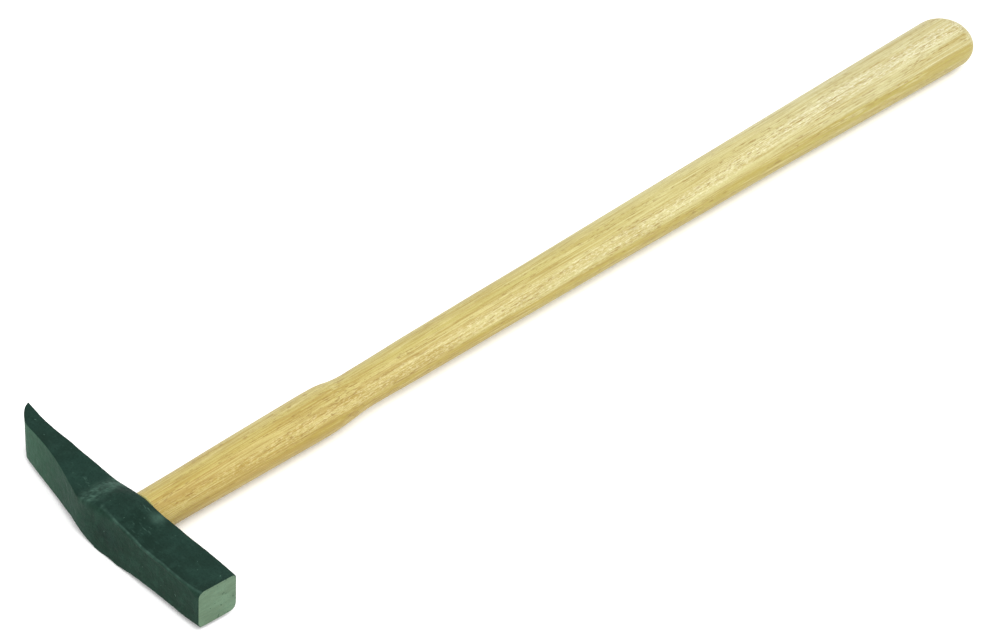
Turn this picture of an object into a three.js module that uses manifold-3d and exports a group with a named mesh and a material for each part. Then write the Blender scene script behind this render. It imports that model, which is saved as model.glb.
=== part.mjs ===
// Tiler's hammer: a forged steel head with a square face and a chisel pein, on a turned hickory handle
// that is wedged into the head's eye.
//
// Millimetres, +Z up. The hammer lies on its side. The handle runs along +X, the striking face looks
// towards -Y and the pein towards +Y. The origin is on the lower cheek, straight under the eye's centre.

import * as THREE from 'three';
import { mergeVertices } from 'three/addons/utils/BufferGeometryUtils.js';
import Module from 'manifold-3d';

const wasm = await Module();
wasm.setup();

// ---- Driving dimensions -------------------------------------------------------------------------

const AXIS_HEIGHT = 7.6;            // the handle's axis above the surface that the hammer lies on
const TOTAL_LENGTH = 295.7;         // the head's outer side to the tip of the butt, along the axis
const GAP = 0.3;                    // clearance between touching pieces

const FACE_SIZE = 12.3;             // the square striking face
const FACE_Y = -35;                 // the striking face, from the eye's centre
const FACE_TILT = 2.5;              // degrees that the face is ground out of square, away from the hand
const PEIN_EDGE_Y = 45.4;           // the pein's cutting edge, from the eye's centre
const PEIN_BEVEL = 4.4;             // length of the ground bevel behind the cutting edge
const HALF_FACE = FACE_SIZE / 2;
const OUTER_X = -HALF_FACE;         // the head's side where the wedges are driven
const CREST_SHARE = 0.65;           // share of the cheek, from the outer side, that is level
const CHEEK_FLAT = { from: -2.4, to: 4 };   // the flat that the hammer lies on, along y

const EYE_WAIST = { y: 5.5, z: 3.9 };     // the eye's half axes in the middle of the head
const EYE_FLARE = { y: 0.4, z: 0.3 };     // how much wider it is at both mouths

const WOOD_WEDGE = { width: 8.2, depth: 8.5, thick: 1.6, thin: 0.5 };
const STEEL_WEDGE = { width: 4.8, depth: 5.5, thick: 1.2, thin: 0.4 };

const NECK_START_X = HALF_FACE + GAP;
const BUTT_X = TOTAL_LENGTH + OUTER_X;    // the tip of the butt
const BUTT_RADIUS = AXIS_HEIGHT;          // the butt rests on the same surface as the cheek
const BUTT_DOME = 6.2;                    // height of the butt's dome
const BUTT_LEAN = 0.36;                   // the butt is sanded askew, longer on the striking face's side
const DOME_X = BUTT_X - BUTT_DOME;
const LEAN_START_X = DOME_X - 8;

// ---- The head's outline, each a list of [y, value] ----------------------------------------------

const HEAD_OUTER_X = [
  [FACE_Y, -HALF_FACE], [-28, -6.1], [-12, -6.15], [0, -6.28], [8, -6.3], [12, -6.22], [16, -5.2],
  [20, -4.08], [24, -2.95], [28, -2.06], [36, -0.4], [PEIN_EDGE_Y - PEIN_BEVEL, 0.75],
];
const HEAD_HAND_X = [
  [FACE_Y, HALF_FACE], [-28, 6.1], [-16, 5.9], [-4, 6], [7, 6], [12, 6.12], [18, 5.8], [25, 5.2],
  [34, 5.08], [39, 5.2], [PEIN_EDGE_Y, 5.72],
];
const OUTER_HALF_WIDTH = [
  [FACE_Y, HALF_FACE], [-32, 5.95], [-28, 5.85], [-20, 5.92], [-13, 6.1], [-9, 6.5], [-5, 7.15],
  [CHEEK_FLAT.from, AXIS_HEIGHT], [CHEEK_FLAT.to, AXIS_HEIGHT], [6, 7.25], [8, 6.8], [10, 6.1],
  [12, 5.15], [13.5, 4.75], [16, 4.85], [20, 5.3], [24, 5.75], [28, 5.98], [36, 6], [PEIN_EDGE_Y, 6.5],
];
const HAND_HALF_WIDTH = [
  [FACE_Y, HALF_FACE], [-32, 5.85], [-28, 5.75], [-14, 5.7], [-8, 5.6], [-4, 6], [0, 6.3], [3, 6.05],
  [7, 5.4], [10, 4.8], [13, 4.5], [16, 4.7], [20, 5.28], [24, 5.75], [28, 5.98], [36, 5.98],
  [PEIN_EDGE_Y, 6.5],
];
const OUTER_CORNER = [
  [FACE_Y, 1.8], [-27, 0.6], [-4, 0.6], [0, 1.2], [3, 1.7], [8, 1.3], [14, 0.5], [PEIN_EDGE_Y, 0.35],
];
const HAND_CORNER = [
  [FACE_Y, 1.9], [-27, 0.7], [-12, 0.7], [0, 1.1], [14, 0.9], [24, 0.6], [PEIN_EDGE_Y, 0.35],
];

// ---- The handle's outline, a list of [x, radius] ------------------------------------------------

const HANDLE_RADIUS = [
  [NECK_START_X, 5.95], [19, 6], [36, 6.25], [50, 6.4], [61, 6.5], [65.5, 6.43], [71, 5.95],
  [75.5, 5.52], [79, 5.45], [84, 5.48], [95, 5.66], [112, 5.82], [136, 5.98], [160, 6.2], [184, 6.45],
  [205, 6.63], [227, 6.87], [246, 7.12], [262, 7.37], [275, 7.57], [DOME_X, BUTT_RADIUS],
];

const HEAD_STEP = 1.6;              // distance between the head's cross sections
const CORNER_STEPS = 3;
const EYE_SIDES = 32;
const HANDLE_SIDES = 32;
const DOME_STEPS = 7;
const STRETCHES = [                 // how finely the handle is stepped: [up to x, step]
  [60, 8], [86, 3], [LEAN_START_X, 14], [DOME_X, 2],
];

// ---- Curves and solids --------------------------------------------------------------------------

// Smooth value at t of a curve through points [t, value], which never overshoots between two of them.
function valueAt(points, t) {
  const last = points.length - 1;
  if (t <= points[0][0]) return points[0][1];
  if (t >= points[last][0]) return points[last][1];
  const i = points.findIndex((point) => point[0] > t) - 1;
  const slope = (k) => (points[k + 1][1] - points[k][1]) / (points[k + 1][0] - points[k][0]);
  const tangent = (k) => {
    if (k === 0) return slope(0);
    if (k === last) return slope(last - 1);
    const before = slope(k - 1);
    const after = slope(k);
    return before * after <= 0 ? 0 : (2 * before * after) / (before + after);
  };
  const span = points[i + 1][0] - points[i][0];
  const u = (t - points[i][0]) / span;
  const rise = points[i + 1][1] - points[i][1];
  return points[i][1]
    + u * u * (3 - 2 * u) * rise
    + u * (1 - u) * (1 - u) * tangent(i) * span
    - u * u * (1 - u) * tangent(i + 1) * span;
}

// A closed solid through rings of points that all have the same number of points.
function loft(rings) {
  const sides = rings[0].length;
  const positions = [];
  const indices = [];
  for (const ring of rings) {
    for (const point of ring) positions.push(point.x, point.y, point.z);
  }
  for (let r = 0; r < rings.length - 1; r += 1) {
    for (let i = 0; i < sides; i += 1) {
      const a = r * sides + i;
      const b = r * sides + ((i + 1) % sides);
      indices.push(a, b, a + sides);
      indices.push(b, b + sides, a + sides);
    }
  }
  const end = (rings.length - 1) * sides;
  for (let i = 1; i < sides - 1; i += 1) {
    indices.push(0, i + 1, i);
    indices.push(end, end + i, end + i + 1);
  }
  const geometry = new THREE.BufferGeometry();
  geometry.setAttribute('position', new THREE.Float32BufferAttribute(positions, 3));
  geometry.setIndex(indices);
  return geometry;
}

// A closed mesh as a solid that can be cut. A mesh that is inside out is turned.
function toSolid(geometry) {
  const bare = geometry.clone();
  bare.deleteAttribute('normal');
  bare.deleteAttribute('uv');
  const merged = mergeVertices(bare, 1e-5);
  const build = (triVerts) => new wasm.Manifold(new wasm.Mesh({
    numProp: 3,
    vertProperties: new Float32Array(merged.attributes.position.array),
    triVerts,
  }));
  const triangles = new Uint32Array(merged.index.array);
  const solid = build(triangles);
  return solid.volume() > 0 ? solid : build(triangles.reverse());
}

function toGeometry(solid) {
  const mesh = solid.getMesh();
  const geometry = new THREE.BufferGeometry();
  geometry.setAttribute('position', new THREE.Float32BufferAttribute(mesh.vertProperties, 3));
  geometry.setIndex(Array.from(mesh.triVerts));
  return geometry;
}

// ---- The head -----------------------------------------------------------------------------------

// Points of a rounded corner at `corner`, between the directions to its two neighbours.
function roundedCorner(corner, previous, next, radius) {
  const start = previous.clone().sub(corner).setLength(radius).add(corner);
  const finish = next.clone().sub(corner).setLength(radius).add(corner);
  const arc = new THREE.QuadraticBezierCurve(start, corner, finish);
  return arc.getPoints(CORNER_STEPS);
}

// The head's cross section in x and z at distance y from the eye's centre.
function headSection(y) {
  const outer = valueAt(HEAD_OUTER_X, y);
  const hand = valueAt(HEAD_HAND_X, y);
  const outerTop = new THREE.Vector2(outer, valueAt(OUTER_HALF_WIDTH, y));
  const crestTop = new THREE.Vector2(outer + CREST_SHARE * (hand - outer), outerTop.y);
  const handTop = new THREE.Vector2(hand, valueAt(HAND_HALF_WIDTH, y));
  const mirror = (point) => new THREE.Vector2(point.x, -point.y);
  const upper = [
    ...roundedCorner(handTop, mirror(handTop), crestTop, valueAt(HAND_CORNER, y)),
    crestTop,
    ...roundedCorner(outerTop, crestTop, mirror(outerTop), valueAt(OUTER_CORNER, y)),
  ];
  const lower = upper.map(mirror).reverse();
  return [...upper, ...lower];
}

function headBody() {
  const levels = new Set([FACE_Y, CHEEK_FLAT.from, CHEEK_FLAT.to, PEIN_EDGE_Y]);
  for (let y = FACE_Y + HEAD_STEP; y < PEIN_EDGE_Y - PEIN_BEVEL; y += HEAD_STEP) levels.add(y);
  const tilt = Math.tan(THREE.MathUtils.degToRad(FACE_TILT));
  const rings = [...levels].sort((a, b) => a - b).map((y) => headSection(y).map((point) => {
    const shift = y === FACE_Y ? -tilt * point.x : 0;
    return new THREE.Vector3(point.x, y + shift, AXIS_HEIGHT + point.y);
  }));
  return toSolid(loft(rings));
}

// A block beyond the ground bevel, which runs from the pein's outer side to its cutting edge.
function peinBevelCutter() {
  const startY = PEIN_EDGE_Y - PEIN_BEVEL;
  const startX = valueAt(HEAD_OUTER_X, startY);
  const edgeX = valueAt(HEAD_HAND_X, PEIN_EDGE_Y);
  const bevel = new THREE.Vector2(edgeX - startX, PEIN_BEVEL);
  const outline = new THREE.Shape([
    new THREE.Vector2(startX - bevel.x, startY - bevel.y),
    new THREE.Vector2(edgeX + bevel.x, PEIN_EDGE_Y + bevel.y),
    new THREE.Vector2(startX - bevel.x, PEIN_EDGE_Y + bevel.y),
  ]);
  const cutter = new THREE.ExtrudeGeometry(outline, { depth: 4 * AXIS_HEIGHT, bevelEnabled: false });
  cutter.translate(0, 0, -AXIS_HEIGHT);
  return toSolid(cutter);
}

// Half axes of the eye at x: an hourglass, so that the wedged tenon can't pull out.
function eyeHalfAxes(x) {
  const flare = (x / HALF_FACE) ** 2;
  return { y: EYE_WAIST.y + EYE_FLARE.y * flare, z: EYE_WAIST.z + EYE_FLARE.z * flare };
}

function ellipseRing(x, halfY, halfZ, sides) {
  return Array.from({ length: sides }, (_, i) => {
    const angle = (2 * Math.PI * i) / sides;
    return new THREE.Vector3(x, halfY * Math.cos(angle), AXIS_HEIGHT + halfZ * Math.sin(angle));
  });
}

function eyeSolid() {
  const rings = [];
  for (let x = -HALF_FACE - 2; x <= HALF_FACE + 2; x += 1) {
    const half = eyeHalfAxes(x);
    rings.push(ellipseRing(x, half.y, half.z, EYE_SIDES));
  }
  return toSolid(loft(rings));
}

// ---- The handle and the wedges ------------------------------------------------------------------

// A wedge driven along +X from the eye's outer mouth. `width` is across, `thick` at its head, `thin` at
// its tip, and `grow` widens it all round where it serves as a cutter.
function wedgeSolid(wedge, acrossY, startX, grow) {
  const ring = (x, thickness) => {
    const halfWide = wedge.width / 2 + grow;
    const halfThick = thickness / 2 + grow;
    const [halfY, halfZ] = acrossY ? [halfWide, halfThick] : [halfThick, halfWide];
    return [[-1, -1], [1, -1], [1, 1], [-1, 1]].map(
      ([y, z]) => new THREE.Vector3(x, y * halfY, AXIS_HEIGHT + z * halfZ),
    );
  };
  return toSolid(loft([
    ring(startX - grow, wedge.thick),
    ring(startX + wedge.depth + grow, wedge.thin),
  ]));
}

function tenonSolid() {
  const rings = [];
  for (let x = OUTER_X; x <= HALF_FACE; x += 1) {
    const half = eyeHalfAxes(x);
    rings.push(ellipseRing(x, half.y - GAP, half.z - GAP, EYE_SIDES));
  }
  rings.push(ellipseRing(NECK_START_X + 1, EYE_WAIST.y - GAP, EYE_WAIST.z - GAP, EYE_SIDES));
  return toSolid(loft(rings));
}

// Slants the butt, by more and more up to where its dome starts.
function leanButt(shaft) {
  const points = shaft.attributes.position;
  for (let i = 0; i < points.count; i += 1) {
    const lean = BUTT_LEAN * THREE.MathUtils.smoothstep(points.getX(i), LEAN_START_X, DOME_X);
    points.setX(i, points.getX(i) - lean * points.getY(i));
  }
}

// The turned part of the handle, from the neck over the shoulder, waist and swell to the leaning butt.
function handleShaft() {
  const profile = [new THREE.Vector2(0, NECK_START_X)];
  let x = NECK_START_X;
  for (const [end, step] of STRETCHES) {
    for (; x < end; x += step) profile.push(new THREE.Vector2(valueAt(HANDLE_RADIUS, x), x));
  }
  for (let step = 0; step < DOME_STEPS; step += 1) {
    const angle = (Math.PI / 2) * (step / DOME_STEPS);
    profile.push(new THREE.Vector2(BUTT_RADIUS * Math.cos(angle), DOME_X + BUTT_DOME * Math.sin(angle)));
  }
  profile.push(new THREE.Vector2(0, BUTT_X));
  const shaft = new THREE.LatheGeometry(profile, HANDLE_SIDES);
  shaft.rotateZ(-Math.PI / 2);
  leanButt(shaft);
  shaft.translate(0, 0, AXIS_HEIGHT);
  return toSolid(shaft);
}

const woodWedgeWhole = wedgeSolid(WOOD_WEDGE, true, OUTER_X, 0);
const woodWedgeKerf = wedgeSolid(WOOD_WEDGE, true, OUTER_X, GAP);
const steelWedge = wedgeSolid(STEEL_WEDGE, false, OUTER_X, 0);
const steelWedgeKerf = wedgeSolid(STEEL_WEDGE, false, OUTER_X, GAP);

const head = headBody().subtract(peinBevelCutter()).subtract(eyeSolid());
const handle = tenonSolid().add(handleShaft()).subtract(woodWedgeKerf).subtract(steelWedgeKerf);
const woodWedge = woodWedgeWhole.subtract(steelWedgeKerf);

// ---- Materials and nodes ------------------------------------------------------------------------

const coatedSteel = new THREE.MeshStandardMaterial({ color: 0x2b423a, roughness: 0.5, metalness: 0.3 });
const bareSteel = new THREE.MeshStandardMaterial({ color: 0x8b9490, roughness: 0.4, metalness: 0.9 });
const hickory = new THREE.MeshStandardMaterial({ color: 0xdcc988, roughness: 0.45, metalness: 0 });
const wedgeWood = new THREE.MeshStandardMaterial({ color: 0xb98f57, roughness: 0.6, metalness: 0 });

function node(name, solid, material) {
  const mesh = new THREE.Mesh(toGeometry(solid), material);
  mesh.name = name;
  return mesh;
}

const group = new THREE.Group();
group.add(node('hammer_head', head, coatedSteel));
group.add(node('handle', handle, hickory));
group.add(node('wood_wedge', woodWedge, wedgeWood));
group.add(node('steel_wedge', steelWedge, bareSteel));

export default group;
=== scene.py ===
"""Looks of the tiler's hammer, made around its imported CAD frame.

Sizes in the outlines are millimetres, in the frame of the CAD model: +X along the handle, the striking
face towards -Y, the pein towards +Y, +Z up. Heights in a cross section count from the handle's axis.
"""

import math

import bmesh
import bpy
from mathutils import Matrix, Vector, noise


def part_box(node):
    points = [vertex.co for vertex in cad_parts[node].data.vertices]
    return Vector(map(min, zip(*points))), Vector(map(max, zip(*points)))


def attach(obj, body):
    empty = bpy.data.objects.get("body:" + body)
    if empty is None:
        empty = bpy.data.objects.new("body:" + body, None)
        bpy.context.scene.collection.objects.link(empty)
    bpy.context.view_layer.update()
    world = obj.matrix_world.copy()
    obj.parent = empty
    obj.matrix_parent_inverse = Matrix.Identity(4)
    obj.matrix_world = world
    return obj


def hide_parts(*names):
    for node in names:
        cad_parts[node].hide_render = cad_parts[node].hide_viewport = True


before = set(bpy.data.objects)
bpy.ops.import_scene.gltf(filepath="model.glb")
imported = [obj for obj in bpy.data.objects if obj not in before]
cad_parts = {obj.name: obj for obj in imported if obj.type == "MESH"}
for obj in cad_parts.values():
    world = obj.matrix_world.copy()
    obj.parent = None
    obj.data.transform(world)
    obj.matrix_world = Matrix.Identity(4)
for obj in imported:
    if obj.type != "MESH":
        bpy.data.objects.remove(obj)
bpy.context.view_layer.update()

MM = 0.001                          # in metres
BODY = "root"

# ---- Places taken from the frame -----------------------------------------------------------------

head_low, head_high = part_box("hammer_head")
handle_low, handle_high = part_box("handle")
AXIS_HEIGHT = (head_low.z + head_high.z) / 2 / MM
PEIN_EDGE_Y = head_high.y / MM
BUTT_END_X = handle_high.x / MM
BUTT_RADIUS = (handle_high.z - handle_low.z) / 2 / MM

# ---- Driving dimensions --------------------------------------------------------------------------

FACE_Y = -35.0                      # where the striking face crosses the middle of the head
HALF_FACE = 6.0                     # nominal, also half of the eye's length along X
FACE_TILT = math.radians(2.5)       # the face is ground out of square, away from the hand
FACE_TILT_REACH = 8.0               # how far behind the face the tilt fades out
FACE_BEVEL = 0.15                   # the broken edge round the striking face
FACE_CORNER_EXTRA = (1.6, 0.6)      # along X and Z: more rounding of the face's lower hand-side corner
FACE_CORNER_REACH = 6.0
PEIN_BEVEL = 4.3                    # length of the ground bevel behind the cutting edge
PEIN_SKEW = 0.05                    # how far the pein's end leans, per millimetre of height
PEIN_PIVOT = 8.0                    # height over the axis where that lean is nothing
PEIN_SKEW_REACH = (16, 4)           # the lean starts and is complete this far behind the edge
CREST_SHARE = 0.65                  # share of the cheek, from the outer side, that is level
CHEEK_FLAT = (-2.4, 4.0)            # the cheek's flat, which the hammer lies on, along Y
CREST_ROUND = 2.5
CREST_ROUND_LOSS = 0.8              # the share of that rounding that is gone at the face
GROUND_START_Y = 10.5               # the ground side of the pein begins here
GROUND_START_SOFT = (0.9, 1.2)      # it fades in from this far before to this far after that
GROUND_START_SLANT = 0.12           # how far it moves along Y, per millimetre of height

EYE_WAIST = (5.5, 3.9)              # the eye's half axes along Y and Z, in the middle of the head
EYE_FLARE = (0.4, 0.3)
EYE_CHAMFER = 0.03
TENON_GAP = 0.015
TENON_EDGE = 0.02                   # the broken edge of the tenon's end
TENON_SUNK = 0.015                  # how deep the tenon's end sits under the head's outer side
NECK_CLEARANCE = 0.12               # between the head's hand side and the start of the neck
COATING_DEPTH = 1.2                 # how far the coating runs into the gaps of the eye
WEDGE_GAP = 0.02                    # between a wedge and the sides of its slot
WEDGE_EDGE = 0.12                   # rounding of the wedges' long edges
WOOD_WEDGE = (8.2, 8.5, 1.6, 0.5)   # width, depth, thickness at the head, thickness at the tip
STEEL_WEDGE = (4.8, 5.5, 1.2, 0.4)

BUTT_DOME = 6.2
BUTT_LEAN = 0.36                    # the butt is sanded askew, longer on the striking face's side
BUTT_LEAN_REACH = 8.0
DOME_X = BUTT_END_X - math.hypot(BUTT_DOME, BUTT_LEAN * BUTT_RADIUS)

FLOOR_CLEARANCE = 0.01              # the least height of a vertex, which keeps it out of the floor
SHARP_ANGLE = math.radians(32)      # faces that meet at more than this keep a hard edge

# ---- Outlines: (y, value) for the head and (x, radius) for the handle ----------------------------

HEAD_OUTER_X = [
    (FACE_Y, -6.15), (-28, -6.1), (-12, -6.15), (0, -6.28), (8, -6.3), (12, -6.22), (16, -5.2),
    (20, -4.08), (24, -2.95), (28, -2.06), (36, -0.4), (PEIN_EDGE_Y - PEIN_BEVEL - 0.2, 0.7),
    (PEIN_EDGE_Y - PEIN_BEVEL + 0.2, 0.95), (PEIN_EDGE_Y - 2.9, 1.8), (PEIN_EDGE_Y - 1.6, 2.9),
    (PEIN_EDGE_Y - 0.6, 4.05), (PEIN_EDGE_Y, 5.35),
]
HEAD_HAND_X = [
    (FACE_Y, 6.0), (-28, 6.05), (-16, 5.9), (-4, 6.0), (7, 6.0), (12, 6.12), (18, 5.8), (25, 5.2),
    (34, 5.08), (39, 5.2), (PEIN_EDGE_Y, 5.72),
]
OUTER_HALF_WIDTH = [
    (FACE_Y, 6.2), (-32, 5.95), (-28, 5.85), (-20, 5.92), (-13, 6.1), (-9, 6.5), (-5, 7.15),
    (CHEEK_FLAT[0], AXIS_HEIGHT), (CHEEK_FLAT[1], AXIS_HEIGHT), (6, 7.25), (8, 6.8),
    (10, 6.1), (12, 5.15), (13.5, 4.75), (16, 4.85), (20, 5.3), (24, 5.75), (28, 5.98), (36, 6.0),
    (PEIN_EDGE_Y, 6.5),
]
OUTER_TURN = [                      # how far the outer side's upper edge lies in from its lower one
    (9, 0), (14, 0.6), (30, 0.7), (37, 0.3), (40, 0),
]
HAND_HALF_WIDTH = [
    (FACE_Y, 6.15), (-32, 5.85), (-28, 5.75), (-14, 5.7), (-8, 5.6), (-4, 6.0), (0, 6.3), (3, 6.05),
    (7, 5.4), (10, 4.8), (13, 4.5), (16, 4.7), (20, 5.28), (24, 5.75), (28, 5.98), (36, 5.98),
    (PEIN_EDGE_Y, 6.5),
]
OUTER_CORNER = [
    (FACE_Y, 2.1), (-32, 1.0), (-27, 0.5), (-10, 0.45), (-4, 0.6), (0, 1.4), (3, 2.5), (8, 2.4),
    (11, 1.4), (14, 0.6), (20, 0.3), (PEIN_EDGE_Y - PEIN_BEVEL, 0.3), (PEIN_EDGE_Y, 0.1),
]
OUTER_LOWER_CORNER = [
    (FACE_Y, 2.0), (-32, 1.1), (-27, 0.5), (-10, 0.45), (-4, 0.6), (0, 0.9), (3, 0.4), (6, 0.25),
    (10, 0.3), (PEIN_EDGE_Y - PEIN_BEVEL, 0.3), (PEIN_EDGE_Y, 0.1),
]
HAND_CORNER = [
    (FACE_Y, 1.7), (-31, 0.8), (-26, 0.6), (-12, 0.6), (0, 1.1), (14, 0.9), (24, 0.5),
    (PEIN_EDGE_Y - PEIN_BEVEL, 0.3), (PEIN_EDGE_Y, 0.1),
]
HANDLE_RADIUS = [
    (6, 5.93), (19, 6), (36, 6.25), (50, 6.4), (61, 6.5), (65.5, 6.43), (71, 5.82), (75.5, 5.48),
    (79, 5.45), (84, 5.48), (95, 5.66), (112, 5.82), (136, 5.98), (160, 6.2), (184, 6.45), (205, 6.63),
    (227, 6.84), (246, 7.07), (262, 7.32), (275, 7.53), (DOME_X, BUTT_RADIUS),
]
HANDLE_BOW = [                      # how far the handle's axis lies towards +Y
    (6, 0.1), (60, -0.05), (66, -0.06), (72, -0.32), (79, -0.08), (160, -0.06), (225, -0.12),
    (262, -0.3), (290, -0.48),
]


def value_at(points, t):
    """Smooth value at t of a curve through points (t, value), which never overshoots between two."""
    last = len(points) - 1
    if t <= points[0][0]:
        return points[0][1]
    if t >= points[last][0]:
        return points[last][1]

    def slope(k):
        return (points[k + 1][1] - points[k][1]) / (points[k + 1][0] - points[k][0])

    def tangent(k):
        if k == 0:
            return slope(0)
        if k == last:
            return slope(last - 1)
        before, after = slope(k - 1), slope(k)
        return 0.0 if before * after <= 0 else 2 * before * after / (before + after)

    i = next(k for k, point in enumerate(points) if point[0] > t) - 1
    span = points[i + 1][0] - points[i][0]
    rise = points[i + 1][1] - points[i][1]
    u = (t - points[i][0]) / span
    return (points[i][1] + u * u * (3 - 2 * u) * rise
            + u * (1 - u) ** 2 * tangent(i) * span - u * u * (1 - u) * tangent(i + 1) * span)


def ramp(low, high, t):
    """0 below low, 1 above high, smooth between them. High may be the smaller one."""
    u = min(1.0, max(0.0, (t - low) / (high - low)))
    return u * u * (3 - 2 * u)


TENON_END_X = value_at(HEAD_OUTER_X, 0) + TENON_SUNK


# ---- Mesh tools ----------------------------------------------------------------------------------

RING_SIDES = 96                     # of the handle, the tenon and the eye
EDGE_STEPS = 4                      # in each rounded edge of a wedge


def mesh_object(name, points, faces):
    """A smooth-shaded object from points in millimetres."""
    mesh = bpy.data.meshes.new(name)
    mesh.from_pydata([(x * MM, y * MM, z * MM) for x, y, z in points], [], faces)
    mesh.validate()
    bm = bmesh.new()
    bm.from_mesh(mesh)
    bmesh.ops.recalc_face_normals(bm, faces=bm.faces)
    bm.to_mesh(mesh)
    bm.free()
    mesh.shade_smooth()
    made = bpy.data.objects.new(name, mesh)
    bpy.context.scene.collection.objects.link(made)
    return made


def ellipse(x, half_y, half_z, offset_y=0.0):
    """An oval ring round the handle's axis at x."""
    return [(x, offset_y + half_y * math.cos(a), AXIS_HEIGHT + half_z * math.sin(a))
            for a in (2 * math.pi * k / RING_SIDES for k in range(RING_SIDES))]


def rounded_rectangle(x, half_y, half_z, radius):
    """A ring with rounded corners round the handle's axis at x."""
    ring = []
    for turn, (sy, sz) in enumerate(((1, 1), (-1, 1), (-1, -1), (1, -1))):
        for k in range(EDGE_STEPS + 1):
            angle = math.pi / 2 * (turn + k / EDGE_STEPS)
            ring.append((x, sy * (half_y - radius) + radius * math.cos(angle),
                         AXIS_HEIGHT + sz * (half_z - radius) + radius * math.sin(angle)))
    return ring


def lofted(name, rings):
    """A closed mesh through rings with the same number of points, closed by a face at each end."""
    sides = len(rings[0])
    points = [point for ring in rings for point in ring]
    faces = []
    for r in range(len(rings) - 1):
        for i in range(sides):
            j = (i + 1) % sides
            faces.append((r * sides + i, r * sides + j, (r + 1) * sides + j, (r + 1) * sides + i))
    first = len(rings) * sides - sides
    faces.append(tuple(range(sides)))
    faces.append(tuple(range(first, first + sides)))
    return mesh_object(name, points, faces)


def cut(target, cutter):
    """Cuts the cutter out of the target for good and removes the cutter."""
    modifier = target.modifiers.new("cut", "BOOLEAN")
    modifier.operation = "DIFFERENCE"
    modifier.solver = "EXACT"
    modifier.object = cutter
    bake_modifiers(target)
    bpy.data.objects.remove(cutter)


def bake_modifiers(target):
    """Applies the modifiers of an object to its mesh."""
    graph = bpy.context.evaluated_depsgraph_get()
    shaped = bpy.data.meshes.new_from_object(target.evaluated_get(graph))
    target.modifiers.clear()
    target.data = shaped


def move_points(target, shift):
    """Moves each vertex along its normal by shift(position in mm, normal), but not into the floor."""
    mesh = target.data
    normals = [vertex.normal.copy() for vertex in mesh.vertices]
    for vertex, normal in zip(mesh.vertices, normals):
        vertex.co += normal * (shift(vertex.co / MM, normal) * MM)
        vertex.co.z = max(vertex.co.z, FLOOR_CLEARANCE * MM)
    mesh.update()


def keep_edges(target):
    """Leaves the shading broken where two faces meet at a clear angle."""
    target.data.shade_smooth()
    target.data.set_sharp_from_angle(angle=SHARP_ANGLE)


def paint_points(target, name, value):
    """Stores value(position in mm, normal) for each vertex as an attribute that materials read."""
    mesh = target.data
    layer = mesh.attributes.new(name, "FLOAT", "POINT")
    layer.data.foreach_set("value", [value(v.co / MM, v.normal) for v in mesh.vertices])


def finish_piece(piece, node):
    """Gives a piece its body and its hard edges, and lets it stand for a node of the CAD model."""
    keep_edges(piece)
    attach(piece, BODY)
    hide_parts(node)


# ---- Node tools ----------------------------------------------------------------------------------

class Shader:
    """Builds one material's node tree with few words."""

    def __init__(self, name):
        self.material = bpy.data.materials.new(name)
        self.material.use_nodes = True
        self.tree = self.material.node_tree
        self.bsdf = self.tree.nodes["Principled BSDF"]
        self.position = self.add("ShaderNodeTexCoord").outputs["Object"]

    def add(self, kind, inputs=None, **settings):
        node = self.tree.nodes.new(kind)
        for key, value in settings.items():
            setattr(node, key, value)
        for key, value in (inputs or {}).items():
            self.feed(node.inputs[key], value)
        return node

    def feed(self, socket, value):
        if isinstance(value, bpy.types.NodeSocket):
            self.tree.links.new(value, socket)
        else:
            socket.default_value = value

    def noise(self, scale, detail=4.0, roughness=0.55, distortion=0.0):
        """Noise with this many cells in a metre: one number, or one for each axis."""
        cells = scale if isinstance(scale, tuple) else (scale,) * 3
        mapping = self.add("ShaderNodeMapping", {"Vector": self.position, "Scale": cells})
        return self.add("ShaderNodeTexNoise", {
            "Vector": mapping.outputs["Vector"], "Scale": 1.0, "Detail": detail,
            "Roughness": roughness, "Distortion": distortion,
        }).outputs["Fac"]

    def remap(self, value, low, high, out_low=0.0, out_high=1.0):
        """Maps low..high to out_low..out_high and clamps."""
        return self.add("ShaderNodeMapRange", {
            0: value, 1: low, 2: high, 3: out_low, 4: out_high,
        }, clamp=True, interpolation_type="SMOOTHSTEP").outputs[0]

    def math(self, operation, a, b=0.0):
        return self.add("ShaderNodeMath", {0: a, 1: b}, operation=operation).outputs[0]

    def mix(self, factor, a, b, blend="MIX"):
        node = self.add("ShaderNodeMix", data_type="RGBA", blend_type=blend)
        self.feed(node.inputs[0], factor)
        self.feed(node.inputs[6], a)
        self.feed(node.inputs[7], b)
        return node.outputs[2]

    def along(self, *direction):
        """Distance of a point along a direction, in metres from the origin."""
        return self.add("ShaderNodeVectorMath", {0: self.position, 1: direction},
                        operation="DOT_PRODUCT").outputs["Value"]

    def attribute(self, name):
        return self.add("ShaderNodeAttribute", attribute_name=name).outputs["Fac"]

    def bump(self, height, distance, strength=1.0, below=None):
        inputs = {"Height": height, "Distance": distance, "Strength": strength}
        if below is not None:
            inputs["Normal"] = below
        return self.add("ShaderNodeBump", inputs).outputs["Normal"]

    def set(self, **sockets):
        for key, value in sockets.items():
            self.feed(self.bsdf.inputs[key.replace("_", " ")], value)
        return self.material


def srgb(red, green, blue):
    """A colour given as 0 to 255 on a screen, as the linear colour that nodes use."""
    def linear(c):
        c = c / 255
        return c / 12.92 if c <= 0.04045 else ((c + 0.055) / 1.055) ** 2.4
    return (linear(red), linear(green), linear(blue), 1.0)


# ---- Materials -----------------------------------------------------------------------------------

OUTER_PAINTED_LIGHT = (1.27, 1.3, 1.2, 1)    # painted light: the coating is made lighter on the outer side, where more light falls
COATING_IOR, FACE_IOR = 1.07, 1.2   # both low, so that they reflect little of the white surroundings


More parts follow.
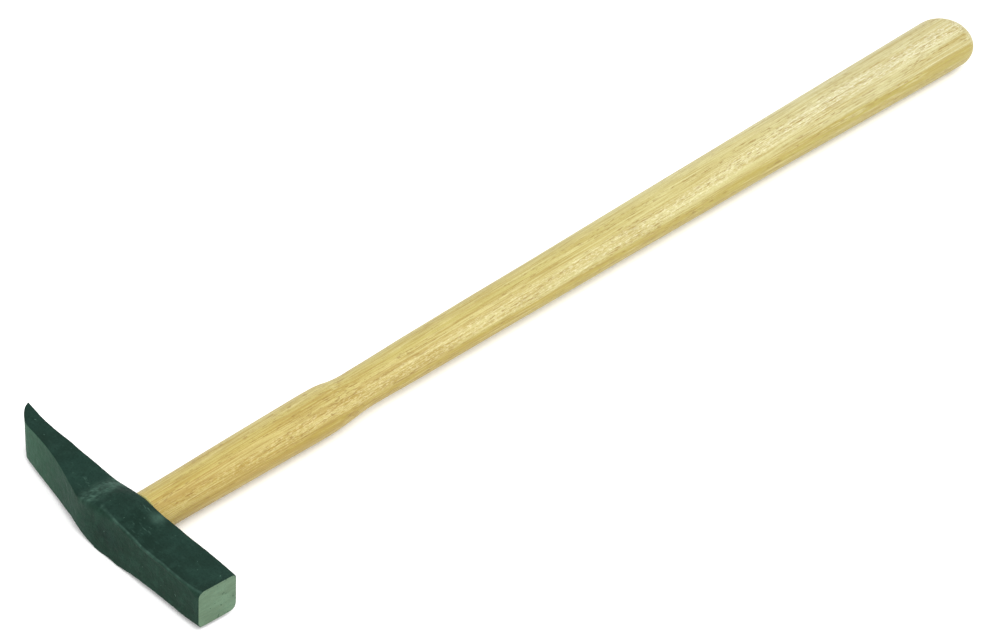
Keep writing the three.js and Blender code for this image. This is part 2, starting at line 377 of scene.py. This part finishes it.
def head_coating():
    """Thin dark green-black coating on forged steel, lighter where the steel under it was ground.
    Painted light: lighter on the outer side, and painted highlights mixed with rubbing on the burr, the
    boss's shoulder and some spots.
    """
    s = Shader("head_coating")
    large = s.noise(75, 3)
    medium = s.noise(360, 4, 0.65)
    fine = s.noise(1700, 3, 0.6)
    colour = s.mix(s.remap(large, 0.35, 0.65), srgb(24, 42, 35), srgb(29, 50, 43))
    colour = s.mix(s.remap(medium, 0.45, 0.68, 0, 0.7), colour, srgb(34, 56, 48))
    colour = s.mix(s.remap(fine, 0.48, 0.66, 0, 0.4), colour, srgb(18, 34, 29))
    # painted light: the outer side of the coating is made lighter
    colour = s.mix(s.attribute("outer_side"), colour, OUTER_PAINTED_LIGHT, "MULTIPLY")
    streaks = s.noise((2600, 2600, 160), 3)
    drawn = s.noise((330, 330, 900), 4)
    bright = s.mix(s.remap(streaks, 0.3, 0.7), srgb(50, 79, 62), srgb(61, 93, 76))
    bright = s.mix(s.remap(drawn, 0.4, 0.7, 0, 0.5), bright, srgb(44, 69, 56))
    towards_edge = s.remap(s.along(0, 1, 0), 0.016, 0.042, 0.15, 1.0)
    colour = s.mix(s.math("MULTIPLY", s.attribute("ground"), towards_edge), colour, bright)
    # painted highlights and rubbing: the burr, the boss's shoulder and some spots are made lighter
    thin = s.math("MULTIPLY", s.attribute("wear_and_highlight"), s.remap(medium, 0.3, 0.62, 0.6, 1.0))
    colour = s.mix(thin, colour, srgb(64, 91, 80))
    strokes = s.remap(s.noise((1500, 420, 1500), 3, 0.6, distortion=0.6), 0.57, 0.66)
    strokes = s.math("MULTIPLY", strokes, s.remap(s.attribute("scuffed"), 0, 0.7, 0.06, 0.6))
    colour = s.mix(strokes, colour, srgb(64, 90, 80))
    specks = s.remap(s.noise(1100, 2, 0.3), 0.745, 0.79, 0, 0.5)
    colour = s.mix(specks, colour, srgb(76, 104, 92))
    normal = s.bump(medium, 0.00028, 0.75)
    normal = s.bump(fine, 0.00007, 0.75, normal)
    s.bsdf.inputs["IOR"].default_value = COATING_IOR
    return s.set(Base_Color=colour, Roughness=s.remap(medium, 0.3, 0.7, 0.3, 0.48), Normal=normal)


def ground_face():
    """The bare ground striking face: fine grinding marks, pits and dark specks."""
    s = Shader("ground_face")
    marks = s.noise((420, 300, 2600), 4, 0.6)
    cloud = s.noise((160, 160, 420), 3)
    pits = s.remap(s.noise(1150, 2, 0.3), 0.67, 0.72)
    grain = s.noise(2300, 3, 0.6)
    colour = s.mix(s.remap(cloud, 0.35, 0.65), srgb(88, 110, 87), srgb(95, 121, 97))
    colour = s.mix(s.remap(marks, 0.4, 0.75, 0, 0.5), colour, srgb(109, 132, 109))
    colour = s.mix(s.remap(marks, 0.5, 0.25, 0, 0.35), colour, srgb(76, 100, 80))
    colour = s.mix(s.remap(grain, 0.5, 0.68, 0, 0.45), colour, srgb(76, 103, 88))
    colour = s.mix(s.math("MULTIPLY", pits, 0.8), colour, srgb(54, 80, 60))
    height = s.math("SUBTRACT", s.math("MULTIPLY", marks, 0.4), pits)
    normal = s.bump(height, 0.00005, 0.5)
    s.bsdf.inputs["Metallic"].default_value = 0.3
    s.bsdf.inputs["IOR"].default_value = FACE_IOR
    return s.set(Base_Color=colour, Roughness=s.remap(marks, 0.3, 0.7, 0.42, 0.56), Normal=normal)


RING_AND_SHADE_DIRECTION = (-0.79, -0.614)    # along Y and Z: the way that the growth rings follow each other, which is also the way down to the painted shade of the handle's lower side
NECK_TINT = (0.89, 0.79, 0.56, 1)   # the wood is more golden towards the head
BUTT_TINT = (1.0, 1.02, 1.17, 1)    # and paler towards the butt


def hickory():
    """Pale hickory under a clear satin varnish: growth rings, long fibres, pores and silvery flecks.
    Painted shade darkens the lower side as late wood, and a paler porous band with silvery glints along
    the middle is a painted highlight.
    """
    s = Shader("varnished_hickory")
    from_head = s.along(1, 0, 0)
    sway = s.math("SUBTRACT", s.noise((14, 50, 50), 3), 0.5)
    across = s.math("ADD", s.along(0, *RING_AND_SHADE_DIRECTION), s.math("MULTIPLY", sway, 0.0028))
    across = s.math("SUBTRACT", across, RING_AND_SHADE_DIRECTION[1] * AXIS_HEIGHT * MM)
    # painted shade: the lower side of the handle, turned away from the lights, is darkened as late wood
    late_wood_and_shade = s.remap(across, 0.0034, 0.0046)
    # painted highlight: a paler porous band along the middle of the handle stands in for the varnish's
    # satin highlight
    drift = s.remap(from_head, 0.16, 0.27, 0, 0.004)
    off_band = s.math("ABSOLUTE", s.math("SUBTRACT", s.math("ADD", across, drift), 0.0019))
    porous_band_and_sheen = s.remap(off_band, 0.0028, 0.0006)
    porous_band_and_sheen = s.math("MULTIPLY", porous_band_and_sheen, s.remap(from_head, 0.01, 0.07, 0.5, 1.0))

    bands = s.noise((6, 560, 560), 2, 0.5)
    strands = s.noise((20, 1700, 1700), 3, 0.6)
    fibres = s.noise((38, 3500, 3500), 3, 0.6)
    pale_lines = s.remap(s.noise((44, 2600, 2600), 3, 0.6), 0.53, 0.64)
    flecks = s.remap(s.noise((900, 3900, 3900), 2, 0.6), 0.5, 0.62)
    grit = s.noise((2400, 4200, 4200), 2, 0.6)
    crowd = s.remap(s.noise((40, 600, 600), 2), 0.42, 0.6, 0.1, 1.0)
    pores = s.math("MULTIPLY", s.remap(s.noise((430, 3000, 3000), 2, 0.5), 0.57, 0.64), crowd)
    long_pores = s.remap(s.noise((90, 3300, 3300), 2, 0.5), 0.63, 0.7)

    colour = s.mix(s.remap(bands, 0.3, 0.7), srgb(175, 166, 98), srgb(185, 178, 118))
    colour = s.mix(s.remap(from_head, 0.14, 0.23, 0, 0.4), colour, srgb(193, 187, 144))
    # painted shade on the lower side, as late wood
    colour = s.mix(s.math("MULTIPLY", late_wood_and_shade, 0.95), colour, srgb(160, 146, 60))
    # the paler porous band, a painted highlight
    colour = s.mix(s.math("MULTIPLY", porous_band_and_sheen, 0.45), colour, srgb(194, 188, 144))
    marked = s.remap(from_head, 0.03, 0.15, 0.85, 0.55)
    strands = s.math("MULTIPLY", s.remap(strands, 0.45, 0.59), marked)
    colour = s.mix(strands, colour, srgb(162, 143, 72))
    colour = s.mix(s.remap(fibres, 0.47, 0.6, 0, 0.6), colour, srgb(150, 130, 60))
    colour = s.mix(s.math("MULTIPLY", pale_lines, 0.4), colour, srgb(206, 200, 148))
    # painted glints: silvery flecks, strongest in that band
    silvery_flecks_and_glints = s.math("MULTIPLY", flecks, s.remap(porous_band_and_sheen, 0, 1, 0.04, 0.42))
    colour = s.mix(silvery_flecks_and_glints, colour, srgb(222, 218, 184))
    colour = s.mix(s.remap(grit, 0.5, 0.7, 0, 0.4), colour, srgb(148, 128, 66))
    colour = s.mix(s.math("MULTIPLY", long_pores, 0.5), colour, srgb(136, 108, 46))
    colour = s.mix(s.math("MULTIPLY", pores, 0.65), colour, srgb(130, 102, 42))
    near_head = s.remap(from_head, 0.02, 0.19, 1.0, 0.0)
    golden = s.math("MULTIPLY", near_head, s.remap(across, -0.006, 0.0, 0.5, 1.0))
    colour = s.mix(golden, colour, NECK_TINT, "MULTIPLY")
    colour = s.mix(s.remap(from_head, 0.205, 0.25), colour, BUTT_TINT, "MULTIPLY")
    edge = s.math("ADD", from_head, s.math("MULTIPLY", bands, 0.0012))
    stain = s.remap(edge, 0.0072, 0.0066, 0, 0.6)
    colour = s.mix(stain, colour, srgb(158, 168, 108))

    height = s.math("SUBTRACT", s.math("MULTIPLY", fibres, 0.5), s.math("MAXIMUM", pores, long_pores))
    normal = s.bump(height, 0.00006, 0.5)
    s.bsdf.inputs["Coat Weight"].default_value = 0.3
    s.bsdf.inputs["Coat Roughness"].default_value = 0.38
    s.bsdf.inputs["Specular IOR Level"].default_value = 0.25
    return s.set(Base_Color=colour, Roughness=s.remap(fibres, 0.3, 0.7, 0.5, 0.62), Normal=normal)


def wedge_wood():
    """Plain hardwood of the wedge, with end grain."""
    s = Shader("wedge_wood")
    grain = s.noise((90, 2200, 2200), 4)
    colour = s.mix(s.remap(grain, 0.3, 0.7), srgb(150, 112, 66), srgb(186, 148, 96))
    return s.set(Base_Color=colour, Roughness=0.6, Normal=s.bump(grain, 0.00005, 0.5))


def wedge_steel():
    """Dull stamped steel of the small wedge."""
    s = Shader("wedge_steel")
    marks = s.noise((300, 2400, 900), 4)
    colour = s.mix(s.remap(marks, 0.3, 0.7), srgb(104, 110, 108), srgb(142, 148, 145))
    s.bsdf.inputs["Metallic"].default_value = 0.9
    return s.set(Base_Color=colour, Roughness=s.remap(marks, 0.3, 0.7, 0.35, 0.5),
                 Normal=s.bump(marks, 0.00003, 0.5))


FLOOR_GLOW = 0.12                   # a sheet lit from below, which keeps the shadows faint


def pale_floor():
    """A plain white sheet."""
    s = Shader("pale_floor")
    cloud = s.noise(6, 2)
    colour = s.mix(cloud, (0.93, 0.93, 0.925, 1), (0.95, 0.95, 0.945, 1))
    s.bsdf.inputs["Emission Color"].default_value = (1, 1, 1, 1)
    s.bsdf.inputs["Emission Strength"].default_value = FLOOR_GLOW
    return s.set(Base_Color=colour, Roughness=0.9)


# ---- The head ------------------------------------------------------------------------------------

CORNER_ROOM = 0.48                  # the most of a side that a rounded corner takes
CORNER_STEPS = 8
HAND_STEPS, CREST_STEPS, CHEEK_STEPS, OUTER_STEPS = 26, 12, 26, 30
LEVEL_STEP, PEIN_LEVEL_STEP = 0.4, 0.14
FACE_SHARES = (0.04, 0.2, 0.4, 0.6, 0.8, 0.92, 1.0)
FACE_SKIN = 0.06                    # what lies less deep than this is the ground face
FACE_FACING = 0.9                   # and its normal points at least this far towards -Y
OUTER_FACING = (0.5, 0.9)           # the outer side fades in as the normals turn towards -X
GROUND_FACING = (0.75, 0.9)         # and so does the ground side of the pein
EYE_STEPS = 24
CUT_PAST = 1.0                      # how far a cutter reaches past the surface

FORGED_BUMPS = [                    # size, height, offset of the noise
    (6.5, 0.07, Vector((0, 0, 0))),
    (2.1, 0.05, Vector((7, 1, 3))),
    (0.7, 0.014, Vector((3, 9, 5))),
]
FACE_CALM = (0.2, 0.7)              # this far behind the face the unevenness fades in
EYE_CALM = (0.8, 3)                 # and this far outside the eye, at its two mouths
EYE_MOUTH_X = 5.2                   # the mouths lie beyond this
RIDGE_HEIGHT = 0.09                 # of the burr along the poll's outer edges
RIDGE_WIDTH = (0.5, 0.05)           # the burr rises from its foot to its crest this near its line
RIDGE_DROP = (0.6, 0.3)             # and this near the cheek
RIDGE_SWAY, RIDGE_SWAY_LENGTH = 0.35, 3.1
RIDGE_SWAY_Y = (-28, -20)           # near the face the burr is straight
RIDGE_END_Y = (4.6, 3.2)            # the burr fades out on the boss
# how strong the rubbing and painted highlight are on the burr and on the shoulder
BURR_WEAR_AND_HIGHLIGHT, SHOULDER_WEAR_AND_HIGHLIGHT = 0.75, 0.88
SHOULDER_START_Y = (5.2, 8.6)       # the boss's shoulder, rubbed and given a painted highlight, fades in here
SHOULDER_STOP_Y = (14, 10)          # and out here
SHOULDER_HEIGHT = (0.5, 5.5)        # it fades in towards the cheeks
CHEEK_RIM = (1, 0.4)                # spots fade in this far under the cheek's surface
RUBBED_AND_SHEEN_SPOTS = [                    # strength, x, y, radius, on both cheeks; the second spot is a painted sheen
    (0.5, -4.9, 3.7, 0.9),
    (0.7, 3.6, -7.6, 3.4),
]
SCUFFED_SPOTS = [
    (1.0, -0.6, 15, 3),
    (1.0, 4.2, -3, 2.8),
    (1.0, -1.5, -7.5, 4.5),
    (0.6, 1.5, 10.5, 3.5),
    (0.5, -3, -31, 3),
]


def corner_arc(corner, before, after, reach_before, reach_after):
    """Points of a rounded corner, from the side of `before` to the side of `after`."""
    start = corner + (before - corner).normalized() * reach_before
    end = corner + (after - corner).normalized() * reach_after
    return [start * (1 - u) ** 2 + corner * (2 * u * (1 - u)) + end * u * u
            for u in (k / CORNER_STEPS for k in range(CORNER_STEPS + 1))]


def head_section(y):
    """The head's cross section at y, as points (x, height over the axis)."""
    outer, hand = value_at(HEAD_OUTER_X, y), value_at(HEAD_HAND_X, y)
    outer_half, hand_half = value_at(OUTER_HALF_WIDTH, y), value_at(HAND_HALF_WIDTH, y)
    crest = outer + CREST_SHARE * (hand - outer)
    near_face = ramp(FACE_Y + FACE_CORNER_REACH, FACE_Y, y)
    crest_round = CREST_ROUND * (1 - CREST_ROUND_LOSS * near_face)
    upper_round, lower_round = value_at(OUTER_CORNER, y), value_at(OUTER_LOWER_CORNER, y)
    hand_round = value_at(HAND_CORNER, y)
    extra_x, extra_z = (extra * near_face for extra in FACE_CORNER_EXTRA)
    corners = [
        (Vector((hand, hand_half)), hand_round, hand_round),
        (Vector((crest, outer_half)), crest_round, crest_round),
        (Vector((outer + value_at(OUTER_TURN, y), outer_half)), upper_round, upper_round),
        (Vector((outer, -outer_half)), lower_round, lower_round),
        (Vector((crest, -outer_half)), crest_round, crest_round),
        (Vector((hand, -hand_half)), hand_round + extra_x, hand_round + extra_z),
    ]
    steps = [CREST_STEPS, CHEEK_STEPS, OUTER_STEPS, CHEEK_STEPS, CREST_STEPS, HAND_STEPS]
    count = len(corners)
    arcs = []
    for i, (corner, reach_before, reach_after) in enumerate(corners):
        before, after = corners[i - 1][0], corners[(i + 1) % count][0]
        reach_before = min(reach_before, CORNER_ROOM * (before - corner).length)
        reach_after = min(reach_after, CORNER_ROOM * (after - corner).length)
        arcs.append(corner_arc(corner, before, after, reach_before, reach_after))
    ring = []
    for i in range(count):
        ring += arcs[i]
        start, end = arcs[i][-1], arcs[(i + 1) % count][0]
        ring += [start.lerp(end, k / steps[i]) for k in range(1, steps[i])]
    return ring


def head_levels():
    """Where along Y the head's cross sections are: close together where the shape turns quickly."""
    levels = [FACE_Y + FACE_BEVEL]
    while levels[-1] < PEIN_EDGE_Y:
        y = levels[-1]
        levels.append(y + (PEIN_LEVEL_STEP if y > PEIN_EDGE_Y - PEIN_BEVEL - 1 else LEVEL_STEP))
    levels[-1] = PEIN_EDGE_Y
    return levels


def head_ring(section, y):
    """A cross section in place, with the tilt of the face and the lean of the pein's end."""
    tilt = math.tan(FACE_TILT) * ramp(FACE_Y + FACE_TILT_REACH, FACE_Y, y)
    lean = PEIN_SKEW * ramp(PEIN_EDGE_Y - PEIN_SKEW_REACH[0], PEIN_EDGE_Y - PEIN_SKEW_REACH[1], y)
    return [(p.x, y - tilt * p.x + lean * (p.y - PEIN_PIVOT), AXIS_HEIGHT + p.y) for p in section]


def face_rings():
    """Rings of the flat striking face, from its middle out to its broken edge."""
    section = head_section(FACE_Y)
    rings = []
    for share in FACE_SHARES:
        shrink = share * (1 - FACE_BEVEL / HALF_FACE)
        rings.append(head_ring([p * shrink for p in section], FACE_Y))
    return rings


def eye_half_axes(x):
    """The half axes of the eye at x: an hourglass."""
    share = (x / HALF_FACE) ** 2
    return EYE_WAIST[0] + EYE_FLARE[0] * share, EYE_WAIST[1] + EYE_FLARE[1] * share


def eye_cutter():
    """The hourglass of the eye, opened a little at both mouths."""
    outer, hand = value_at(HEAD_OUTER_X, 0), value_at(HEAD_HAND_X, 0)
    first, last = outer + EYE_CHAMFER, hand - EYE_CHAMFER
    inside = [first + (last - first) * k / EYE_STEPS for k in range(EYE_STEPS + 1)]
    rings = []
    for x in [outer - CUT_PAST, *inside, hand + CUT_PAST]:
        half_y, half_z = eye_half_axes(x)
        opened = max(0.0, first - x, x - last)
        rings.append(ellipse(x, half_y + opened, half_z + opened))
    return lofted("eye_cutter", rings)


def face_depth(co):
    """Distance behind the plane of the striking face, along Y."""
    return co.y + math.tan(FACE_TILT) * co.x - FACE_Y


def forged(co, normal):
    """Unevenness of the forging under the coating. The ground face and the eye's rims stay flat."""
    strength = ramp(*FACE_CALM, face_depth(co))
    if abs(co.x) > EYE_MOUTH_X:
        from_axis = math.hypot(co.y, co.z - AXIS_HEIGHT)
        strength *= ramp(EYE_WAIST[0] + EYE_CALM[0], EYE_WAIST[0] + EYE_CALM[1], from_axis)
    bumps = sum(noise.noise(co / size + offset) * height for size, height, offset in FORGED_BUMPS)
    return bumps * strength + ridge(co) * RIDGE_HEIGHT


def ridge(co):
    """High along the burr that runs on the poll's outer edges, from the boss to the face."""
    rounding = value_at(OUTER_CORNER, co.y)
    sway = RIDGE_SWAY * noise_along(co.y, RIDGE_SWAY_LENGTH) * ramp(*RIDGE_SWAY_Y, co.y)
    off_line = abs(co.x - value_at(HEAD_OUTER_X, co.y) - 0.5 * rounding - sway)
    below_cheek = value_at(OUTER_HALF_WIDTH, co.y) - 0.3 * rounding - abs(co.z - AXIS_HEIGHT)
    at_cheek = ramp(*RIDGE_DROP, below_cheek)
    return ramp(*RIDGE_WIDTH, off_line) * at_cheek * ramp(*RIDGE_END_Y, co.y)


def noise_along(y, length):
    """Noise that changes along Y only."""
    return noise.noise(Vector((y / length, 0.3, 0.7)))


def spotted(co, spots):
    """How strong the strongest of some round spots is here. They lie on the head's two cheeks."""
    half = min(value_at(OUTER_HALF_WIDTH, co.y), value_at(HAND_HALF_WIDTH, co.y))
    on_cheek = ramp(half - CHEEK_RIM[0], half - CHEEK_RIM[1], abs(co.z - AXIS_HEIGHT))
    return on_cheek * max(strength * ramp(radius, 0, math.hypot(co.x - x, co.y - y))
                          for strength, x, y, radius in spots)


def rubbed_and_highlit(co, normal):
    """Where the coating is made lighter: rubbed thin and given a painted highlight along the burr and
    the boss's shoulder, and at some spots, one of them a painted sheen.
    """
    broken = 0.5 + 0.9 * noise_along(co.y, 1.1)
    uneven = 0.65 + 0.7 * noise.noise(co / 1.6) + 0.9 * noise.noise(co / 0.6)
    shoulder = ramp(*SHOULDER_START_Y, co.y) * ramp(*SHOULDER_STOP_Y, co.y)
    shoulder *= ramp(*SHOULDER_HEIGHT, abs(co.z - AXIS_HEIGHT))
    shoulder *= 1 - 0.7 * on_outer_side(co, normal)
    # the burr and the shoulder get rubbing and a painted highlight
    burr = BURR_WEAR_AND_HIGHLIGHT * ridge(co) * max(0.5, broken)
    shoulder_rub_and_highlight = SHOULDER_WEAR_AND_HIGHLIGHT * shoulder * max(0.15, uneven)
    return min(1.0, max(burr, shoulder_rub_and_highlight, spotted(co, RUBBED_AND_SHEEN_SPOTS)))


def scuffed(co, normal):
    """Where short light strokes lie close together."""
    return spotted(co, SCUFFED_SPOTS)


def on_outer_side(co, normal):
    """1 on the side of the head away from the hand."""
    return ramp(*OUTER_FACING, -normal.x)


def pein_ground(co, normal):
    """1 on the side of the pein that was ground before coating."""
    facing = ramp(*GROUND_FACING, -normal.x)
    slanted_y = co.y + GROUND_START_SLANT * (co.z - AXIS_HEIGHT)
    before, after = GROUND_START_SOFT
    return facing * ramp(GROUND_START_Y - before, GROUND_START_Y + after, slanted_y)


def make_head(coating):
    rings = face_rings() + [head_ring(head_section(y), y) for y in head_levels()]
    head = lofted("hammer_head_forged", rings)
    move_points(head, forged)
    cut(head, eye_cutter())
    head.data.materials.clear()
    head.data.materials.append(coating)
    head.data.materials.append(ground_face())
    for polygon in head.data.polygons:
        on_face = face_depth(polygon.center / MM) < FACE_SKIN and polygon.normal.y < -FACE_FACING
        polygon.material_index = 1 if on_face else 0
    paint_points(head, "wear_and_highlight", rubbed_and_highlit)
    paint_points(head, "scuffed", scuffed)
    # the outer side's mask, which the coating reads to paint light there
    paint_points(head, "outer_side", on_outer_side)
    paint_points(head, "ground", pein_ground)
    finish_piece(head, "hammer_head")


# ---- The handle and the wedges -------------------------------------------------------------------

WEDGE_STEPS, DOME_STEPS = 8, 24
TENON_STEP, HANDLE_STEP = 0.5, 0.6
TENON_MARGIN = 0.4                  # the even steps stay this far from both ends of the tenon
NECK_ROUND = 0.2                    # the small rounding where the neck leaves the head
NECK_X = 6.3                        # from here on the handle is outside of the head
SANDED_BUMPS = [                    # size along the grain, size across it, height
    (28, 9, 0.09),
    (60, 3.2, 0.04),
]


def wedge_rings(size, across_y, grow):
    """Rings of a wedge along X. It is widened by grow all round where it is a cutter."""
    width, depth, thick, thin = size
    rings = []
    for k in range(WEDGE_STEPS + 1):
        share = k / WEDGE_STEPS
        x = TENON_END_X + depth * share + grow * (2 * share - 1)
        half_wide = width / 2 + grow
        half_thick = (thick + (thin - thick) * share) / 2 + grow
        half_y, half_z = (half_wide, half_thick) if across_y else (half_thick, half_wide)
        rings.append(rounded_rectangle(x, half_y, half_z, WEDGE_EDGE))
    return rings


def handle_ring(x, radius):
    """A round section of the handle. Towards the butt it leans."""
    ring = ellipse(x, radius, radius, value_at(HANDLE_BOW, x))
    lean = BUTT_LEAN * ramp(DOME_X - BUTT_LEAN_REACH, DOME_X, x)
    return [(x - lean * y, y, z) for x, y, z in ring]


def tenon_ring(x, shrink=0.0):
    """A section of the tenon, a little smaller than the eye."""
    half_y, half_z = eye_half_axes(x)
    return ellipse(x, half_y - TENON_GAP - shrink, half_z - TENON_GAP - shrink)


def handle_rings():
    """Rings of the whole handle, from the tenon's end to the butt."""
    start = value_at(HEAD_HAND_X, 0) + NECK_CLEARANCE
    rings = [tenon_ring(TENON_END_X, TENON_EDGE), tenon_ring(TENON_END_X + TENON_EDGE)]
    x = TENON_END_X + TENON_MARGIN
    while x < start - TENON_MARGIN:
        rings.append(tenon_ring(x))
        x += TENON_STEP
    rings.append(tenon_ring(start))
    rings.append(handle_ring(start, value_at(HANDLE_RADIUS, start) - NECK_ROUND))
    rings.append(handle_ring(start + NECK_ROUND, value_at(HANDLE_RADIUS, start)))
    x = start + NECK_ROUND + HANDLE_STEP
    while x < DOME_X:
        rings.append(handle_ring(x, value_at(HANDLE_RADIUS, x)))
        x += HANDLE_STEP
    for k in range(DOME_STEPS):
        angle = math.pi / 2 * k / DOME_STEPS
        rings.append(handle_ring(DOME_X + BUTT_DOME * math.sin(angle), BUTT_RADIUS * math.cos(angle)))
    return rings


def sanded(co, normal):
    """Slight unevenness of a turned and sanded handle."""
    if co.x < NECK_X:
        return 0.0
    return sum(noise.noise(Vector((co.x / length, co.y / across, co.z / across))) * height
               for length, across, height in SANDED_BUMPS)


def make_handle(coating):
    handle = lofted("turned_handle", handle_rings())
    cut(handle, lofted("wood_wedge_cutter", wedge_rings(WOOD_WEDGE, True, WEDGE_GAP)))
    cut(handle, lofted("steel_wedge_cutter", wedge_rings(STEEL_WEDGE, False, WEDGE_GAP)))
    move_points(handle, sanded)
    coat_outer_end(handle, hickory(), coating)
    finish_piece(handle, "handle")


def coat_outer_end(piece, material, coating):
    """Gives a piece its material, with the head's coating where it shows in the eye's outer mouth."""
    piece.data.materials.clear()
    piece.data.materials.append(material)
    piece.data.materials.append(coating)
    for polygon in piece.data.polygons:
        coated = polygon.center.x < (TENON_END_X + COATING_DEPTH) * MM
        polygon.material_index = 1 if coated else 0
    for name in ("wear_and_highlight", "scuffed", "ground"):
        paint_points(piece, name, lambda co, normal: 0.0)
    # the outer side's mask, which the coating reads to paint light there
    paint_points(piece, "outer_side", on_outer_side)


def make_wedges(coating):
    wood = lofted("wood_wedge_driven", wedge_rings(WOOD_WEDGE, True, 0.0))
    cut(wood, lofted("steel_wedge_cutter", wedge_rings(STEEL_WEDGE, False, WEDGE_GAP)))
    steel = lofted("steel_wedge_driven", wedge_rings(STEEL_WEDGE, False, 0.0))
    for piece, material, slot, node in ((wood, wedge_wood(), "wedge_wood", "wood_wedge"),
                                        (steel, wedge_steel(), "wedge_steel", "steel_wedge")):
        coat_outer_end(piece, material, coating)
        finish_piece(piece, node)


# ---- Studio --------------------------------------------------------------------------------------

CAMERA_AIM = Vector((0.1216, -0.0049, 0.0076))
CAMERA_AZIMUTH, CAMERA_ELEVATION, CAMERA_ROLL = -43.22, 43.18, 1.98    # degrees
CAMERA_DISTANCE = 2.453             # metres
CAMERA_LENS, CAMERA_SENSOR = 343.0, 36.0                               # millimetres
FLOOR_HALF = 6000.0                 # half the side of the floor sheet, in millimetres
LIGHT_DISTANCE = 1.6
LIGHTS = [                          # name, azimuth and elevation in degrees, width in metres, watts
    ("key", -30, 62, 0.9, 12.5),
    ("sheen", 35, 50, 0.8, 5),
    ("far_side", 150, 42, 1.0, 2.5),
    ("outer_side", -95, 30, 1.0, 1.6),
]


def direction(azimuth, elevation):
    """The way from the object to a camera or light. Azimuth 0 is in front, on the side of -Y."""
    a, e = math.radians(azimuth), math.radians(elevation)
    return Vector((math.sin(a) * math.cos(e), -math.cos(a) * math.cos(e), math.sin(e)))


def make_camera():
    data = bpy.data.cameras.new("camera")
    data.lens = CAMERA_LENS
    data.sensor_width = CAMERA_SENSOR
    data.clip_start, data.clip_end = 0.1, 50
    camera = bpy.data.objects.new("camera", data)
    bpy.context.scene.collection.objects.link(camera)
    back = direction(CAMERA_AZIMUTH, CAMERA_ELEVATION)
    azimuth = math.radians(CAMERA_AZIMUTH)
    level = Vector((math.cos(azimuth), math.sin(azimuth), 0))
    right = Matrix.Rotation(math.radians(CAMERA_ROLL), 3, back) @ level
    up = back.cross(right)
    rotation = Matrix((right, up, back)).transposed()
    camera.matrix_world = Matrix.Translation(CAMERA_AIM + back * CAMERA_DISTANCE) @ rotation.to_4x4()
    bpy.context.scene.camera = camera


def soft_light(name, azimuth, elevation, size, power):
    data = bpy.data.lights.new(name, "AREA")
    data.shape = "DISK"
    data.size = size
    data.energy = power
    light = bpy.data.objects.new(name, data)
    bpy.context.scene.collection.objects.link(light)
    back = direction(azimuth, elevation)
    light.location = CAMERA_AIM + back * LIGHT_DISTANCE
    light.rotation_mode = "QUATERNION"
    light.rotation_quaternion = back.to_track_quat("Z", "Y")


def make_floor():
    corners = [(x * FLOOR_HALF, y * FLOOR_HALF, 0) for x, y in ((-1, -1), (1, -1), (1, 1), (-1, 1))]
    floor = mesh_object("floor", corners, [(0, 1, 2, 3)])
    floor.data.materials.append(pale_floor())


def make_world():
    world = bpy.data.worlds.new("studio")
    world.use_nodes = True
    background = world.node_tree.nodes["Background"]
    background.inputs["Color"].default_value = (1, 1, 1, 1)
    background.inputs["Strength"].default_value = 1.0
    bpy.context.scene.world = world


make_camera()
make_world()
make_floor()
for name, azimuth, elevation, size, power in LIGHTS:
    soft_light(name, azimuth, elevation, size, power)
bpy.context.scene.view_settings.view_transform = "Standard"

coating = head_coating()
make_head(coating)
make_handle(coating)
make_wedges(coating)
